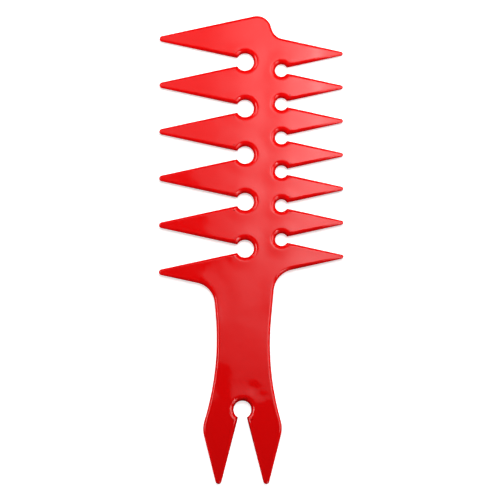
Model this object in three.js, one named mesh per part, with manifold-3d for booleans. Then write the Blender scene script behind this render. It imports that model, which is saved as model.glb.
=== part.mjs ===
// Double-sided styling comb, one plastic moulding, built as the named regions of a single plate.
// Millimetres. X runs across the teeth, Y along the handle towards the head, Z through the thickness.
import * as THREE from "three";
import { mergeVertices } from "three/addons/utils/BufferGeometryUtils.js";
import Module from "manifold-3d";

// Thickness and rims
const thickness = 4.0; // spine and handle
const edgeRadius = 1.6; // rounding of every rim
const wideTipThickness = 1.6;
const narrowTipThickness = 1.4;
const prongTipThickness = 1.8;

// Head: the rows are centred on y = 0, and the handle's centreline is x = 0
const wideLineX = 0.6; // line of the wide row's gullets
const spineWidth = 15.7; // from the wide row's gullet line to the narrow row's

// Wide teeth, on the left
const wideTeeth = 6;
const widePitch = 20.55;
const wideLength = 37.1; // gullet line to tooth tip
const wideTipRadius = 1.3;
const wideGullet = 3.85; // radius of the round gullet between two teeth
const wideMouth = 3.72; // gap at the gullet's mouth

// Narrow teeth, on the right
const narrowTeeth = 7;
const narrowPitch = 14.9;
const narrowLength = 26.7;
const narrowTipRadius = 0.9;
const narrowGullet = 2.75;
const narrowMouth = 2.68;

// Crest, at the top of the head
const crestInset = 6.3; // its corner, left of the narrow gullet line
const crestFoot = 3.0; // the foot of its right flank, left of the same line
const crestRadius = 6.2;
const crestFootRadius = 6.0;

// Handle
const leftShoulderRadius = 9.5; // between the last wide tooth and the handle
const rightShoulderRadius = 10.0;
const shoulderFlare = 5.25; // degrees that the handle opens towards the head
const waistWidth = 19.8; // between the corners that the waist's long arcs round off
const waistDrop = 92.35; // below the rows' centre
const waistRadius = 121;

// Forked tail
const tailAxisX = -0.5;
const forkDrop = 111.0; // fork's round gullet, below the rows' centre
const tailWidth = 34.45; // between the tail's outer corners
const tailCornerDrop = 8.1; // those corners, below the fork's gullet
const tailRadius = 12.0;
const prongSpacing = 20.4;
const prongLength = 32.1; // fork's gullet to prong tip
const prongTipRadius = 1.3;
const forkGullet = 3.85;
const forkMouth = 3.77;

// Facets
const chordTolerance = 0.05; // furthest that a facet strays from its arc
const rimSteps = 3; // facets in a quarter of a rim

const midZ = thickness / 2;
const degrees = THREE.MathUtils.degToRad;
const narrowLineX = wideLineX + spineWidth;

// A row of teeth is drawn in its own frame: u outwards from the gullet line, v along the row.
const wideRow = {
  count: wideTeeth,
  pitch: widePitch,
  length: wideLength,
  tipRadius: wideTipRadius,
  gullet: wideGullet,
  mouth: wideMouth,
  place: (u, v) => new THREE.Vector2(wideLineX - u, -v),
};
const narrowRow = {
  count: narrowTeeth,
  pitch: narrowPitch,
  length: narrowLength,
  tipRadius: narrowTipRadius,
  gullet: narrowGullet,
  mouth: narrowMouth,
  place: (u, v) => new THREE.Vector2(narrowLineX + u, v),
};
const fork = {
  count: 2,
  pitch: prongSpacing,
  length: prongLength,
  tipRadius: prongTipRadius,
  gullet: forkGullet,
  mouth: forkMouth,
  place: (u, v) => new THREE.Vector2(tailAxisX + v, -forkDrop - u),
};

// Where the axis of a tooth lies along its row, counted in the direction of the outline
function toothAxis(row, index) {
  return (index - (row.count - 1) / 2) * row.pitch;
}

// Half the angle of a tooth whose edges run from the gullets' lips and touch the round tip
function toothHalfAngle(row) {
  const lipOut = Math.sqrt(row.gullet ** 2 - (row.mouth / 2) ** 2);
  const rise = (row.pitch - row.mouth) / 2;
  const run = row.length - row.tipRadius - lipOut;
  return Math.acos(row.tipRadius / Math.hypot(rise, run)) - Math.atan2(run, rise);
}

// Half the width of a tooth at u, also where its edge is carried on past the gullet line
function toothHalfWidth(row, u) {
  const angle = toothHalfAngle(row);
  return row.tipRadius / Math.cos(angle) + Math.tan(angle) * (row.length - row.tipRadius - u);
}

// Points of an arc, both ends included
function arcPoints(centreU, centreV, radius, from, to) {
  const step = 2 * Math.acos(1 - Math.min(chordTolerance / radius, 1));
  const steps = Math.max(2, Math.ceil(Math.abs(to - from) / step));
  const points = [];
  for (let i = 0; i <= steps; i++) {
    const angle = from + ((to - from) * i) / steps;
    points.push([centreU + radius * Math.cos(angle), centreV + radius * Math.sin(angle)]);
  }
  return points;
}

// Outline of a row, from the first tooth's tip to the last one's, with the gullets between them
function rowOutline(row) {
  const tipSweep = Math.PI / 2 - toothHalfAngle(row);
  const lipAngle = Math.asin(row.mouth / 2 / row.gullet);
  const points = [];
  for (let i = 0; i < row.count; i++) {
    const axis = toothAxis(row, i);
    if (i > 0) {
      const gulletV = axis - row.pitch / 2;
      points.push(...arcPoints(0, gulletV, row.gullet, 2 * Math.PI - lipAngle, lipAngle));
    }
    points.push(...arcPoints(row.length - row.tipRadius, axis, row.tipRadius, -tipSweep, tipSweep));
  }
  return points.map(([u, v]) => row.place(u, v));
}

// Point at u on the outer edge of a row's first or last tooth
function outerEdgePoint(row, last, u) {
  const v = toothAxis(row, row.count - 1) + toothHalfWidth(row, u);
  return row.place(u, last ? v : -v);
}

// Where an outer tooth's edge meets the handle's side, which passes the waist and leans as it goes up
function shoulderCorner(row, last, waist, lean) {
  const root = outerEdgePoint(row, last, 0);
  const edge = outerEdgePoint(row, last, row.length).sub(root);
  const along = (waist.x - root.x - (waist.y - root.y) * lean) / (edge.x - edge.y * lean);
  return root.addScaledVector(edge, along);
}

function corner(point, radius) {
  return Object.assign(point, { radius });
}

// Rounds each corner that has a radius, as far as the sides beside it leave room
function roundCorners(points) {
  const count = points.length;
  const before = (i) => points[(i + count - 1) % count];
  const after = (i) => points[(i + 1) % count];
  const turn = (i) => {
    const sides = [points[i].clone().sub(before(i)), after(i).clone().sub(points[i])];
    return Math.atan2(sides[0].cross(sides[1]), sides[0].dot(sides[1]));
  };
  const wanted = points.map((p, i) => (p.radius ? p.radius * Math.tan(Math.abs(turn(i)) / 2) : 0));
  const share = (i, j) => Math.min(1, points[i].distanceTo(points[j]) / (wanted[i] + wanted[j] || 1));
  const rounded = [];
  points.forEach((p, i) => {
    if (!p.radius) {
      rounded.push(p);
      return;
    }
    const room = Math.min(share(i, (i + count - 1) % count), share(i, (i + 1) % count));
    const start = before(i).clone().sub(p).setLength(wanted[i] * room).add(p);
    const sweep = turn(i);
    const radius = p.radius * room;
    const side = p.clone().sub(before(i)).normalize();
    const inwards = new THREE.Vector2(-side.y, side.x).multiplyScalar(Math.sign(sweep));
    const centre = start.clone().addScaledVector(inwards, radius);
    const from = Math.atan2(start.y - centre.y, start.x - centre.x);
    const arc = arcPoints(centre.x, centre.y, radius, from, from + sweep);
    rounded.push(...arc.map(([x, y]) => new THREE.Vector2(x, y)));
  });
  return rounded;
}

// Corners of the outline that join the two rows, the handle and the tail
const crestTop = outerEdgePoint(wideRow, false, wideLineX - narrowLineX + crestInset);
const crestBase = outerEdgePoint(narrowRow, true, -crestFoot);
const flareRun = Math.tan(degrees(shoulderFlare));
const leftWaist = new THREE.Vector2(-waistWidth / 2, -waistDrop);
const rightWaist = new THREE.Vector2(waistWidth / 2, -waistDrop);
const leftShoulder = shoulderCorner(wideRow, true, leftWaist, -flareRun);
const rightShoulder = shoulderCorner(narrowRow, false, rightWaist, flareRun);
const tailCornerY = -forkDrop - tailCornerDrop;
const leftTail = new THREE.Vector2(tailAxisX - tailWidth / 2, tailCornerY);
const rightTail = new THREE.Vector2(tailAxisX + tailWidth / 2, tailCornerY);

const outline = roundCorners([
  corner(crestTop, crestRadius),
  ...rowOutline(wideRow),
  corner(leftShoulder, leftShoulderRadius),
  corner(leftWaist, waistRadius),
  corner(leftTail, tailRadius),
  ...rowOutline(fork),
  corner(rightTail, tailRadius),
  corner(rightWaist, waistRadius),
  corner(rightShoulder, rightShoulderRadius),
  ...rowOutline(narrowRow),
  corner(crestBase, crestFootRadius),
]);
const bounds = new THREE.Box2().setFromPoints(outline);

// The head ends just below the left shoulder, where the handle's own thickness begins.
const shoulderY = leftShoulder.y - leftShoulderRadius;
const lastWideAxisY = -toothAxis(wideRow, wideTeeth - 1);

// Thickness at a point, as a share of the spine's: teeth and prongs thin down evenly to their tips
function thicknessShare(x, y) {
  const wideRun = (wideLineX - x) / wideLength;
  const narrowRun = (x - narrowLineX) / narrowLength;
  const prongRun = (-forkDrop - y) / prongLength;
  if (prongRun > 0) return 1 - prongRun * (1 - prongTipThickness / thickness);
  const head = THREE.MathUtils.clamp((y - shoulderY) / (lastWideAxisY - shoulderY), 0, 1);
  if (wideRun > 0) return 1 - head * wideRun * (1 - wideTipThickness / thickness);
  if (narrowRun > 0) return 1 - head * narrowRun * (1 - narrowTipThickness / thickness);
  return 1;
}

// Even plate with rounded rims: rings of the outline, drawn in from the rim to the flat of each face
function roundedPlate(points) {
  const count = points.length;
  const inwards = points.map((p, i) => {
    const back = p.clone().sub(points[(i + count - 1) % count]).normalize();
    const ahead = points[(i + 1) % count].clone().sub(p).normalize();
    const bisector = new THREE.Vector2(-back.y - ahead.y, back.x + ahead.x);
    return bisector.multiplyScalar(2 / bisector.lengthSq());
  });
  const rings = [];
  for (let i = -rimSteps; i <= rimSteps; i++) {
    const angle = (Math.PI / 2) * (i / rimSteps);
    const height = midZ - edgeRadius + edgeRadius * Math.abs(Math.sin(angle));
    if (i === 0) rings.push({ inset: 0, z: midZ - height });
    rings.push({ inset: 1 - Math.cos(angle), z: midZ + (i < 0 ? -height : height) });
  }
  const position = [];
  for (const { inset, z } of rings) {
    points.forEach((p, i) => {
      const rim = edgeRadius * thicknessShare(p.x, p.y);
      position.push(p.x + inwards[i].x * inset * rim, p.y + inwards[i].y * inset * rim, z);
    });
  }
  const index = [];
  for (let ring = 0; ring + 1 < rings.length; ring++) {
    for (let i = 0; i < count; i++) {
      const [a, b] = [ring * count + i, ring * count + ((i + 1) % count)];
      index.push(a, b, b + count, a, b + count, a + count);
    }
  }
  const top = (rings.length - 1) * count;
  const flat = points.map((p, i) => new THREE.Vector2(position[3 * (top + i)], position[3 * (top + i) + 1]));
  for (const [a, b, c] of THREE.ShapeUtils.triangulateShape(flat, [])) {
    index.push(top + a, top + b, top + c, a, c, b);
  }
  const geometry = new THREE.BufferGeometry();
  geometry.setAttribute("position", new THREE.Float32BufferAttribute(position, 3));
  geometry.setIndex(index);
  return geometry;
}

const wasm = await Module();
wasm.setup();

function toSolid(geometry) {
  const bare = geometry.clone();
  bare.deleteAttribute("normal");
  bare.deleteAttribute("uv");
  const merged = mergeVertices(bare);
  return new wasm.Manifold(new wasm.Mesh({
    numProp: 3,
    vertProperties: new Float32Array(merged.attributes.position.array),
    triVerts: new Uint32Array(merged.index.array),
  }));
}

function toGeometry(solid) {
  const mesh = solid.getMesh();
  const geometry = new THREE.BufferGeometry();
  geometry.setAttribute("position", new THREE.Float32BufferAttribute(mesh.vertProperties, 3));
  geometry.setIndex(Array.from(mesh.triVerts));
  return geometry;
}

// Cutting block with its sides exactly on the planes that neighbouring regions share
function block(x0, x1, y0, y1) {
  const box = new THREE.BoxGeometry(1, 1, 2 * thickness).translate(0, 0, midZ);
  const position = box.attributes.position;
  for (let i = 0; i < position.count; i++) {
    position.setX(i, position.getX(i) < 0 ? x0 : x1);
    position.setY(i, position.getY(i) < 0 ? y0 : y1);
  }
  return box;
}

const plate = toSolid(roundedPlate(outline));

// One region of the plate, between two values of x and two of y, thinned towards its tip
function region(x0, x1, y0, y1) {
  const geometry = toGeometry(plate.intersect(toSolid(block(x0, x1, y0, y1))));
  const position = geometry.attributes.position;
  for (let i = 0; i < position.count; i++) {
    const share = thicknessShare(position.getX(i), position.getY(i));
    position.setZ(i, midZ + (position.getZ(i) - midZ) * share);
  }
  geometry.computeVertexNormals();
  return geometry;
}

const comb = new THREE.Group();
comb.name = "styling_comb";
comb.position.set(-(bounds.min.x + bounds.max.x) / 2, -(bounds.min.y + bounds.max.y) / 2, 0);

function addRegion(name, x0, x1, y0, y1) {
  const plastic = new THREE.MeshStandardMaterial({ color: 0xc8090b, roughness: 0.2, metalness: 0 });
  const mesh = new THREE.Mesh(region(x0, x1, y0, y1), plastic);
  mesh.name = name;
  comb.add(mesh);
}

const [left, right] = [bounds.min.x - thickness, bounds.max.x + thickness];
const [bottom, top] = [bounds.min.y - thickness, bounds.max.y + thickness];

addRegion("spine", wideLineX, narrowLineX, shoulderY, top);
addRegion("handle", left, right, -forkDrop, shoulderY);
for (let i = 0; i < wideTeeth; i++) {
  const axis = -toothAxis(wideRow, i);
  const y0 = i === wideTeeth - 1 ? shoulderY : axis - widePitch / 2;
  const y1 = i === 0 ? top : axis + widePitch / 2;
  addRegion(`wide_tooth_${i + 1}`, left, wideLineX, y0, y1);
}
for (let i = 0; i < narrowTeeth; i++) {
  const axis = -toothAxis(narrowRow, i);
  const y0 = i === narrowTeeth - 1 ? shoulderY : axis - narrowPitch / 2;
  const y1 = i === 0 ? top : axis + narrowPitch / 2;
  addRegion(`narrow_tooth_${i + 1}`, narrowLineX, right, y0, y1);
}
addRegion("tail_prong_left", left, tailAxisX, bottom, -forkDrop);
addRegion("tail_prong_right", tailAxisX, right, bottom, -forkDrop);

export default comb;
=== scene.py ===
import math

import bmesh
import bpy
from mathutils import Matrix, Vector


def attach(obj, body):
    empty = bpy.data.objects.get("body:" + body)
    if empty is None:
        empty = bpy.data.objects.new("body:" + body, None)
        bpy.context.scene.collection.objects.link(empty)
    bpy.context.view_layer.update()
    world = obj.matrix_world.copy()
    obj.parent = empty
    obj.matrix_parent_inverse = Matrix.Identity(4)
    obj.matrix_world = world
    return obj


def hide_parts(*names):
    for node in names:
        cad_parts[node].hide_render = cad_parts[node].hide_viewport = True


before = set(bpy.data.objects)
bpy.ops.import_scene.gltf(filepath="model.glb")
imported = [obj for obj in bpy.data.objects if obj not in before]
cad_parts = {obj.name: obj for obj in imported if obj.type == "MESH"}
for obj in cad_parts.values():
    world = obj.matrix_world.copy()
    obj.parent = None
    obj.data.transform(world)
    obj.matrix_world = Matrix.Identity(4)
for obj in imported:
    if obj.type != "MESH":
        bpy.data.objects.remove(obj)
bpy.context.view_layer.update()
scene = bpy.context.scene
scene.view_settings.view_transform = "Standard"
mm = 0.001

# Sizes of the moulding in millimetres
combSizes = dict(
    thickness=4.0, edgeRadius=1.6, wideTip=1.6, narrowTip=1.4, prongTip=1.8,
    crestInset=6.3, crestFoot=3.0, crestRadius=6.2, crestFootRadius=6.0,
    leftShoulder=9.5, rightShoulder=10.0, shoulderFlare=5.25,
    waistWidth=19.8, waistDrop=92.35, waistRadius=121.0,
    tailAxis=-0.5, tailWidth=34.45, tailDrop=119.1, tailRadius=12.0,
    headStart=-59.5, headEnd=-76.0,     # the teeth's thinning fades out between these
    wideEase=21.0, narrowEase=24.0,     # run over which a tooth starts to thin
    prongStart=-106.0, prongEase=15.5,
    # The face stands a little higher beside the hollows of the outline, but lower at the left waist
    wideCollar=0.077, narrowCollar=0.085, forkCollar=0.060, shoulderCollar=0.05, collarReach=3.1,
    leftWaistCollar=-0.048, rightWaistCollar=0.041, waistReach=6.0,
    # Shallow sink marks above the fork: x, y, reach across, reach along, depth
    sinks=((4.3, -101.8, 1.9, 1.9, 0.045), (-12.5, -99.0, 5.0, 8.0, 0.085), (7.8, -105.5, 1.2, 1.2, 0.03)),
    # The rims are broader round the gullets than along the edges, and narrow less than the plastic thins
    gulletRim=1.30, plainRim=0.78, rimFade=3.0, rimThinning=0.55,
    rimBorder=0.22,     # flat border that carries the rim into the face
    landDraft=0.05,     # how far the side wall leans in from the parting line
    partingRise=0.03,   # witness line of the mould at half thickness
    partingWidth=0.07,
    creaseAngle=30,     # edges that bend by more degrees than this are creases
    # How finely all this is drawn
    chord=0.006,        # furthest that a facet strays from its arc
    leastSteps=3,       # facets of even the shortest arc
    edgeStep=1.6,       # longest piece of a straight edge
    rimSteps=7,         # facets in a quarter of a rim
    gridStep=1.0,       # lattice on the flat of each face
    mergeGap=1e-4,      # points nearer than this are one
)
# Each row points along facing (degrees) from the line through its gullets
wideRow = dict(
    count=6, pitch=20.55, length=37.1, tip=1.3, gullet=3.85, mouth=3.72, origin=(0.6, 0.0), facing=180)
narrowRow = dict(
    count=7, pitch=14.9, length=26.7, tip=0.9, gullet=2.75, mouth=2.68, origin=(16.3, 0.1), facing=0)
forkRow = dict(
    count=2, pitch=20.4, length=32.1, tip=1.3, gullet=3.85, mouth=3.77, origin=(-0.5, -111.0), facing=-90)


def rowPoint(row, u, v):    # u out along the teeth, v along the row
    return Vector(row["origin"]) + Matrix.Rotation(math.radians(row["facing"]), 2) @ Vector((u, v))


def toothAxis(row, index):
    return (index - (row["count"] - 1) / 2) * row["pitch"]


def toothHalfAngle(row):
    lipOut = math.sqrt(row["gullet"] ** 2 - (row["mouth"] / 2) ** 2)
    rise = (row["pitch"] - row["mouth"]) / 2
    run = row["length"] - row["tip"] - lipOut
    return math.acos(row["tip"] / math.hypot(rise, run)) - math.atan2(run, rise)


def outerEdge(row, side, u):    # on the outer edge of the first (-1) or last (1) tooth
    angle = toothHalfAngle(row)
    halfWidth = row["tip"] / math.cos(angle) + math.tan(angle) * (row["length"] - row["tip"] - u)
    return rowPoint(row, u, side * (toothAxis(row, row["count"] - 1) + halfWidth))


# A stroke is an arc: centre, radius, start angle, sweep
def rowStrokes(row):
    facing = math.radians(row["facing"])
    tipSweep = math.pi / 2 - toothHalfAngle(row)
    lip = math.asin(row["mouth"] / 2 / row["gullet"])
    strokes = []
    for index in range(row["count"]):
        axis = toothAxis(row, index)
        if index:
            centre = rowPoint(row, 0, axis - row["pitch"] / 2)
            strokes.append((centre, row["gullet"], facing - lip, 2 * lip - 2 * math.pi))
        centre = rowPoint(row, row["length"] - row["tip"], axis)
        strokes.append((centre, row["tip"], facing - tipSweep, 2 * tipSweep))
    return strokes


def strokePoint(stroke, share):
    centre, radius, start, sweep = stroke
    angle = start + sweep * share
    return centre + radius * Vector((math.cos(angle), math.sin(angle)))


def cornerStroke(before, point, after, radius):     # the arc that rounds a corner
    arrive = (point - before).normalized()
    leave = (after - point).normalized()
    turn = math.atan2(arrive.x * leave.y - arrive.y * leave.x, arrive.dot(leave))
    start = point - arrive * radius * math.tan(abs(turn) / 2)
    centre = start + Vector((-arrive.y, arrive.x)) * math.copysign(radius, turn)
    return centre, radius, math.atan2(start.y - centre.y, start.x - centre.x), turn


def outlineStrokes(size):
    lean = math.tan(math.radians(size["shoulderFlare"]))
    waists = [Vector((side * size["waistWidth"] / 2, -size["waistDrop"])) for side in (-1, 1)]
    tails = [Vector((size["tailAxis"] + side * size["tailWidth"] / 2, -size["tailDrop"])) for side in (-1, 1)]
    shoulders = []      # where the outer edge of the last tooth meets the handle's side
    for row, side, waist in ((wideRow, 1, waists[0]), (narrowRow, -1, waists[1])):
        root = outerEdge(row, side, 0)
        edge = outerEdge(row, side, 1) - root
        slope = math.copysign(lean, waist.x)
        along = (waist.x - root.x - (waist.y - root.y) * slope) / (edge.x - edge.y * slope)
        shoulders.append(root + edge * along)
    spine = narrowRow["origin"][0] - wideRow["origin"][0]
    crestTop = outerEdge(wideRow, -1, size["crestInset"] - spine)
    crestBase = outerEdge(narrowRow, 1, -size["crestFoot"])
    path = [        # strokes, and corners with the radius that rounds them
        (crestTop, size["crestRadius"]), *rowStrokes(wideRow),
        (shoulders[0], size["leftShoulder"]), (waists[0], size["waistRadius"]),
        (tails[0], size["tailRadius"]), *rowStrokes(forkRow), (tails[1], size["tailRadius"]),
        (waists[1], size["waistRadius"]), (shoulders[1], size["rightShoulder"]),
        *rowStrokes(narrowRow), (crestBase, size["crestFootRadius"]),
    ]
    strokes = []
    for index, item in enumerate(path):
        if len(item) == 4:
            strokes.append(item)
            continue
        before, after = path[index - 1], path[(index + 1) % len(path)]
        before = before[0] if len(before) == 2 else strokePoint(before, 1)
        after = after[0] if len(after) == 2 else strokePoint(after, 0)
        strokes.append(cornerStroke(before, item[0], after, item[1]))
    return strokes


def drawOutline(bm, size):      # spins a vertex round each arc and joins the arcs with straight edges
    firsts, lasts = [], []
    for stroke in outlineStrokes(size):
        centre, radius, start, sweep = stroke
        first = bm.verts.new((*strokePoint(stroke, 0), 0))
        facetAngle = 2 * math.acos(1 - size["chord"] / radius)
        steps = max(size["leastSteps"], math.ceil(abs(sweep) / facetAngle))
        made = bmesh.ops.spin(bm, geom=[first], cent=(*centre, 0), axis=(0, 0, 1), angle=sweep, steps=steps)
        firsts.append(first)
        lasts.append([item for item in made["geom_last"] if isinstance(item, bmesh.types.BMVert)][0])
    for index, first in enumerate(firsts):
        bmesh.ops.contextual_create(bm, geom=[lasts[index - 1], first])
    for edge in bm.edges[:]:
        cuts = math.ceil(edge.calc_length() / size["edgeStep"]) - 1
        if cuts > 0:
            bmesh.ops.subdivide_edges(bm, edges=[edge], cuts=cuts)


def softRun(run, length, start):    # 0 at the root, 1 at the tip, with a gentle start
    run = max(run, 0)
    eased = run * run / (2 * start) if run < start else run - start / 2
    return eased / (length - start / 2)


def smoothStep(value, low, high):
    share = min(max((value - low) / (high - low), 0), 1)
    return share * share * (3 - 2 * share)


def thicknessShare(size, x, y):     # thickness at a point, as a share of the spine's
    full = size["thickness"]
    prongEnd = forkRow["origin"][1] - forkRow["length"]
    prong = softRun(size["prongStart"] - y, size["prongStart"] - prongEnd, size["prongEase"])
    wide = softRun(wideRow["origin"][0] - x, wideRow["length"], size["wideEase"])
    narrow = softRun(x - narrowRow["origin"][0], narrowRow["length"], size["narrowEase"])
    teeth = max(wide * (1 - size["wideTip"] / full), narrow * (1 - size["narrowTip"] / full))
    head = smoothStep(y, size["headEnd"], size["headStart"])
    return 1 - max(prong * (1 - size["prongTip"] / full), head * teeth)


# Hollow arcs of the outline: centre, radius, how high the face stands beside it, how far that reaches
def collars(size):
    found = []
    for centre, radius, start, sweep in outlineStrokes(size):
        rise, reach = 0, size["collarReach"]
        if radius == size["waistRadius"]:
            rise = size["leftWaistCollar"] if centre.x < 0 else size["rightWaistCollar"]
            reach = size["waistReach"]
        elif radius in (size["leftShoulder"], size["rightShoulder"]):
            rise = size["shoulderCollar"]
        elif sweep < 0 and centre.y < -size["waistDrop"]:
            rise = size["forkCollar"]
        elif sweep < 0 and radius in (wideRow["gullet"], narrowRow["gullet"]):
            rise = size["wideCollar"] if radius == wideRow["gullet"] else size["narrowCollar"]
        if rise:
            found.append((centre, radius, rise, reach))
    return found


def rimShare(size, arcs, x, y):     # breadth of the rim at a point of the outline, as a share of edgeRadius
    gullets = [row["gullet"] for row in (wideRow, narrowRow, forkRow)]
    gaps = [math.hypot(x - arc[0].x, y - arc[0].y) - arc[1] for arc in arcs if arc[1] in gullets]
    fade = smoothStep(min(gaps), 0, size["rimFade"])
    thinning = thicknessShare(size, x, y) ** size["rimThinning"]
    return thinning * (size["gulletRim"] + (size["plainRim"] - size["gulletRim"]) * fade)


def moulding(size, arcs, x, y):     # how far the moulded face strays from its even height, in millimetres
    height = -size["narrowCollar"]
    for centre, radius, rise, reach in arcs:
        gap = max(math.hypot(x - centre.x, y - centre.y) - radius - size["edgeRadius"], 0)
        height += rise * math.exp(-((gap / reach) ** 2))
    for sinkX, sinkY, across, along, depth in size["sinks"]:
        height -= depth * math.exp(-(((x - sinkX) / across) ** 2) - ((y - sinkY) / along) ** 2)
    return height


def insetFace(bm, face, depth):
    bmesh.ops.inset_region(bm, faces=[face], thickness=depth, use_even_offset=True, use_boundary=True)


def inwardWays(bm, face):       # where each corner of the flat outline goes for a millimetre of rim
    probe = bm.copy()
    probe.faces.ensure_lookup_table()
    inner = probe.faces[face.index]
    before = [vert.co.copy() for vert in inner.verts]
    probeDepth = 0.02
    insetFace(probe, inner, probeDepth)
    ways = [(vert.co - point) / probeDepth for vert, point in zip(inner.verts, before)]
    probe.free()
    return ways


def rimRings(size):     # from the parting line up to the flat: how far in, how high
    half, radius = size["thickness"] / 2, size["edgeRadius"]
    rings = [(-size["partingRise"], 0), (0, size["partingWidth"])]
    for step in range(size["rimSteps"] + 1):
        angle = math.pi / 2 * step / size["rimSteps"]
        inset = size["landDraft"] + (radius - size["landDraft"]) * (1 - math.cos(angle))
        rings.append((inset, half - radius + radius * math.sin(angle)))
    rings.append((radius + size["rimBorder"], half))
    return rings


def drawRim(bm, face, outline, arcs, size):
    ways = inwardWays(bm, face)
    shares = [rimShare(size, arcs, point.x, point.y) for point in outline]
    newRing = 0.01      # any depth will do, as each ring is placed at once
    for index, (inset, height) in enumerate(rimRings(size)):
        if index:
            insetFace(bm, face, newRing)
        for vert, point, way, share in zip(face.verts, outline, ways, shares):
            vert.co = point + way * inset * share
            vert.co.z = height
    print("comb: rim", len(bm.faces), "faces")


def cutLattice(bm, face, outline, size):
    plain, marked = 0, 1        # the flat is marked while it is cut
    face.material_index = marked
    for axis in (0, 1):
        low, high = min(point[axis] for point in outline), max(point[axis] for point in outline)
        normal = Vector((axis == 0, axis == 1, 0))
        for cut in range(1, math.ceil((high - low) / size["gridStep"])):
            flats = [item for item in bm.faces if item.material_index == marked]
            edges = {edge for item in flats for edge in item.edges}
            verts = {vert for item in flats for vert in item.verts}
            bmesh.ops.bisect_plane(
                bm, geom=flats + list(edges) + list(verts), dist=size["mergeGap"],
                plane_co=normal * (low + cut * size["gridStep"]), plane_no=normal)
    for item in bm.faces:
        item.material_index = plain
    print("comb: lattice", len(bm.faces), "faces")


def buildComb(size):
    bm = bmesh.new()
    drawOutline(bm, size)
    face = bmesh.ops.edgeloop_fill(bm, edges=bm.edges[:])["faces"][0]
    bm.faces.index_update()
    if face.normal.z < 0:
        bmesh.ops.reverse_faces(bm, faces=[face])
    outline = [vert.co.copy() for vert in face.verts]
    arcs = collars(size)
    drawRim(bm, face, outline, arcs, size)
    cutLattice(bm, face, outline, size)

    half = size["thickness"] / 2
    for vert in bm.verts:
        share = thicknessShare(size, vert.co.x, vert.co.y)
        vert.co.z *= share + moulding(size, arcs, vert.co.x, vert.co.y) / half
    everything = bm.verts[:] + bm.edges[:] + bm.faces[:]
    bmesh.ops.mirror(bm, geom=everything, axis="Z", merge_dist=size["mergeGap"])
    bmesh.ops.recalc_face_normals(bm, faces=bm.faces[:])
    low = Vector((min(point.x for point in outline), min(point.y for point in outline), -half))
    high = Vector((max(point.x for point in outline), max(point.y for point in outline), -half))
    toFrame = Matrix.Scale(mm, 4) @ Matrix.Translation(-(low + high) / 2)
    bmesh.ops.transform(bm, matrix=toFrame, verts=bm.verts[:])
    for item in bm.faces:
        item.smooth = True
    for edge in bm.edges:       # the rims meet in a crease at every lip
        edge.smooth = edge.calc_face_angle() < math.radians(size["creaseAngle"])
    return bm


class Socket:       # a value in a node tree, for sums in plain Python
    def __init__(self, finish, link):
        self.finish, self.link = finish, link

    def __add__(self, other):
        return self.finish.sum("ADD", self, other)

    def __sub__(self, other):
        return self.finish.sum("SUBTRACT", self, other)

    def __rsub__(self, other):
        return self.finish.sum("SUBTRACT", other, self)

    def __mul__(self, other):
        return self.finish.sum("MULTIPLY", self, other)

    def __truediv__(self, other):
        return self.finish.sum("DIVIDE", self, other)

    def __pow__(self, other):
        return self.finish.sum("POWER", self, other)

    __radd__ = __add__


class Finish:       # one material or world, built node by node
    def __init__(self, owner):
        owner.use_nodes = True
        self.tree = owner.node_tree
        self.tree.nodes.clear()

    def add(self, kind, inputs=None, out=0, **settings):
        node = self.tree.nodes.new("ShaderNode" + kind)
        for name, value in settings.items():
            if name == "stops":
                while len(node.color_ramp.elements) < len(value):
                    node.color_ramp.elements.new(1)
                for element, (place, colour) in zip(node.color_ramp.elements, value):
                    element.position, element.color = place, colour
            else:
                setattr(node, name, value)
        for name, value in (inputs or {}).items():
            if isinstance(value, Socket):
                self.tree.links.new(value.link, node.inputs[name])
            else:
                node.inputs[name].default_value = value
        return Socket(self, node.outputs[out]) if node.outputs else None

    def sum(self, operation, *values, clamp=False):
        return self.add("Math", dict(enumerate(values)), operation=operation, use_clamp=clamp)


# Gloss red moulded plastic. The heights of peel and wave are in metres
redPlastic = dict(
    base=(0.74, 0.0018, 0.0020, 1), deep=(0.70, 0.0014, 0.0016, 1),
    roughness=0.05, smudge=0.02, peel=0.000010, wave=0.00005, refraction=1.5,
    cloudNoise={"Scale": 45, "Detail": 3},
    smudgeNoise={"Scale": 140, "Detail": 4, "Roughness": 0.6},
    peelNoise={"Scale": 260, "Detail": 1},
    waveNoise={"W": 6.2, "Scale": 90, "Detail": 1},
)


def makeRedPlastic(look):
    material = bpy.data.materials.new("redPlastic")
    finish = Finish(material)
    place = finish.add("TexCoord", out="Object")
    cloud = finish.add("TexNoise", {"Vector": place, **look["cloudNoise"]}, "Fac")
    # A colour mix takes its factor in socket 0 and its colours in 6 and 7, and gives its colour at 2
    colour = finish.add("Mix", {0: cloud, 6: look["deep"], 7: look["base"]}, 2, data_type="RGBA")
    smudge = finish.add("TexNoise", {"Vector": place, **look["smudgeNoise"]}, "Fac")
    peel = finish.add("TexNoise", {"Vector": place, **look["peelNoise"]}, "Fac")
    wave = finish.add("TexNoise", {"Vector": place, **look["waveNoise"]}, "Fac", noise_dimensions="4D")
    height = peel * look["peel"] + wave * look["wave"]
    bump = finish.add("Bump", {"Height": height, "Strength": 1, "Distance": 1})
    shader = finish.add("BsdfPrincipled", {
        "Base Color": colour, "Roughness": look["roughness"] + (smudge - 0.5) * look["smudge"],
        "Normal": bump, "IOR": look["refraction"],
    })
    finish.add("OutputMaterial", {"Surface": shader})
    return material


def addPiece(name, bm, material):
    mesh = bpy.data.meshes.new(name)
    bm.to_mesh(mesh)
    bm.free()
    mesh.materials.append(material)
    piece = bpy.data.objects.new(name, mesh)
    scene.collection.objects.link(piece)
    return piece


comb = addPiece("comb", buildComb(combSizes), makeRedPlastic(redPlastic))
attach(comb, "root")
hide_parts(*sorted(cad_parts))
print("comb:", len(comb.data.polygons), "faces")

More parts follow.
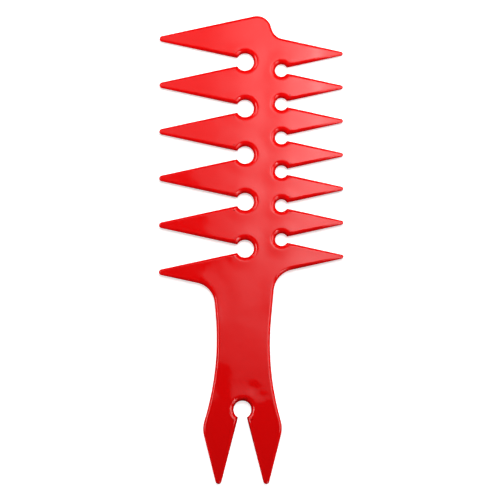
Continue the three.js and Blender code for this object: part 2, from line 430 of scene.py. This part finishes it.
# White table, lit like the comb, with a little glow towards the lens, more where the lights fall off
table = dict(
    size=6.0, paint=(0.9, 0.9, 0.9, 1), centre=(0.02, 0.07), fadeStart=0.05, fadeLength=0.26,
    glow=((0, (0.48, 0.48, 0.48, 1)), (0.45, (0.80, 0.80, 0.80, 1)), (1, (1, 1, 1, 1))),
)


def away(x, y):     # distance of a point from the middle, in a node tree
    return (x * x + y * y) ** 0.5


def makeTable(look):
    material = bpy.data.materials.new("whiteTable")
    finish = Finish(material)
    seen = finish.add("LightPath", out="Is Camera Ray")
    paint = finish.add("BsdfDiffuse", {"Color": look["paint"]})
    place = finish.add("TexCoord", out="Object")
    x, y = (
        finish.add("SeparateXYZ", {0: place}, axis) - middle for axis, middle in zip("XY", look["centre"]))
    fade = (away(x, y) - look["fadeStart"]) / look["fadeLength"]
    tint = finish.add("ValToRGB", {0: fade}, stops=look["glow"])
    glow = finish.add("Emission", {"Color": tint, "Strength": seen})
    finish.add("OutputMaterial", {"Surface": finish.add("AddShader", {0: paint, 1: glow})})
    bm = bmesh.new()
    bmesh.ops.create_grid(bm, x_segments=1, y_segments=1, size=look["size"] / 2)
    return addPiece("table", bm, material)


floor = makeTable(table)
floor.visible_glossy = False

# The octabox hangs over the head, and its cloth is brightest in the middle and cut off along one side
octabox = dict(
    place=(0.060, 0.420, 1.0), radius=0.349, flat=0.274, flatTurn=37.8, fringe=0.010, segments=96,
    edge=0.586, hot=4.33, power=1.31, hotPlace=(0.098, -0.153), hotReach=(0.272, 0.216), hotTurn=-13.6,
    dim=0.45, dimReach=0.06, core=2.6, corePlace=(0.1005, -0.119), coreReach=0.0233,
)


def turned(degrees, x, y):
    cos, sin = math.cos(math.radians(degrees)), math.sin(math.radians(degrees))
    return x * cos + y * sin, y * cos - x * sin


def addOctabox(look):
    material = bpy.data.materials.new("octabox")
    finish = Finish(material)
    place = finish.add("TexCoord", out="Object")
    x, y = (finish.add("SeparateXYZ", {0: place}, axis) for axis in "XY")
    u, v = turned(look["hotTurn"], x - look["hotPlace"][0], y - look["hotPlace"][1])
    reach = away(u / look["hotReach"][0], v / look["hotReach"][1])
    inside = look["radius"] - away(x, y)
    edge = finish.sum("DIVIDE", inside, look["dimReach"], clamp=True) * (1 - look["dim"]) + look["dim"]
    cloth = finish.sum("MAXIMUM", 1 - reach, 0) ** look["power"] * look["hot"] + edge * look["edge"]
    spot = away(x - look["corePlace"][0], y - look["corePlace"][1]) / look["coreReach"]
    cloth += finish.sum("EXPONENT", spot * spot * -1) * look["core"]
    border = finish.sum("MINIMUM", inside, turned(look["flatTurn"], x, y)[0] + look["flat"])
    cloth *= finish.sum("ADD", border / look["fringe"], 0.5, clamp=True)    # half dark on the border
    finish.add("OutputMaterial", {"Surface": finish.add("Emission", {"Color": cloth, "Strength": 1})})
    bm = bmesh.new()
    bmesh.ops.create_circle(bm, cap_ends=True, segments=look["segments"], radius=look["radius"])
    box = addPiece("octabox", bm, material)
    box.location = look["place"]
    box.visible_camera = box.visible_shadow = False


# Soft lamps that light the comb and the table, but don't show in the gloss
fills = dict(
    key=dict(place=(0.06, 0.155, 0.30), aim=(0.06, 0.155, 0), size=(0.34, 0.26), level=5.1),
    front=dict(place=(0, -0.90, 0.05), aim=(0, 0, 0), size=(1.2, 0.09), level=0.5),
    back=dict(place=(0, 0.90, 0.05), aim=(0, 0, 0), size=(1.2, 0.09), level=4.0),
    leftFill=dict(place=(-0.90, 0, 0.05), aim=(0, 0, 0), size=(1.2, 0.09), level=14.0),
    rightFill=dict(place=(0.90, 0, 0.05), aim=(0, 0, 0), size=(1.2, 0.09), level=11.0),
)
# Soft cards that only show in the gloss, along the rims
cards = dict(
    right=dict(place=(0.66, 0.145, 0.66), aim=(0, 0.145, 0), size=(0.51, 0.66), level=2.5),
    frontRight=dict(place=(0.66, -0.60, 0.66), aim=(0, 0, 0), size=(0.55, 0.66), level=2.0),
    glint=dict(place=(0.31, -0.28, 0.75), aim=(0.31, -0.28, 0), size=(0.13, 0.19), level=9.0),
    rightCorner=dict(place=(0.47, 0.52, 0.95), aim=(0, 0, 0), size=(0.26, 0.26), level=3.0),
    leftCorner=dict(place=(-0.50, 0.46, 0.95), aim=(0, 0, 0), size=(0.28, 0.28), level=3.4),
    nearLeft=dict(place=(-0.73, 0.11, 0.61), aim=(0, 0.11, 0), size=(0.42, 0.34), level=5.2),
    farLeft=dict(place=(-0.73, 0.66, 0.61), aim=(0, 0.66, 0), size=(0.68, 0.34), level=2.2),
)


def addLamp(name, look, showsInGloss):
    light = bpy.data.lights.new(name, "AREA")
    width, height = look["size"]
    light.shape, light.size, light.size_y = "RECTANGLE", width, height
    light.energy = look["level"] * math.pi * width * height
    lamp = bpy.data.objects.new(name, light)
    scene.collection.objects.link(lamp)
    lamp.location = look["place"]
    aimed = (Vector(look["aim"]) - Vector(look["place"])).to_track_quat("-Z", "Y")
    lamp.rotation_euler = aimed.to_euler()
    lamp.visible_camera = False
    lamp.visible_glossy, lamp.visible_diffuse = showsInGloss, not showsInGloss


# White to the lens, dim in the gloss
air = dict(fill=0.17, reflected=0.03)


def makeAir(look):
    world = bpy.data.worlds.new("studio")
    scene.world = world
    finish = Finish(world)
    seen = finish.add("LightPath", out="Is Camera Ray")
    glossy = finish.add("LightPath", out="Is Glossy Ray")
    strength = seen * (1 - look["fill"]) + glossy * (look["reflected"] - look["fill"]) + look["fill"]
    finish.add("OutputWorld", {"Surface": finish.add("Background", {"Strength": strength})})


addOctabox(octabox)
for name, look in fills.items():
    addLamp(name, look, False)
for name, look in cards.items():
    addLamp(name, look, True)
makeAir(air)
print("lights:", 1 + len(fills) + len(cards))

# Camera nearly overhead, from the tail's side. Its width is what the picture spans at the target
lens = dict(
    target=(-0.00051, -0.00088, 0.002), elevation=80, distance=1.93, width=0.2153, sensor=36, clipEnd=20)
camera = bpy.data.objects.new("camera", bpy.data.cameras.new("camera"))
scene.collection.objects.link(camera)
tilt = math.radians(90 - lens["elevation"])
camera.rotation_euler = (tilt, 0, 0)
camera.location = Vector(lens["target"]) + lens["distance"] * Vector((0, -math.sin(tilt), math.cos(tilt)))
camera.data.sensor_width = lens["sensor"]
camera.data.lens = lens["sensor"] * lens["distance"] / lens["width"]
camera.data.clip_end = lens["clipEnd"]
scene.camera = camera
print("camera:", round(camera.data.lens, 1), "mm lens")
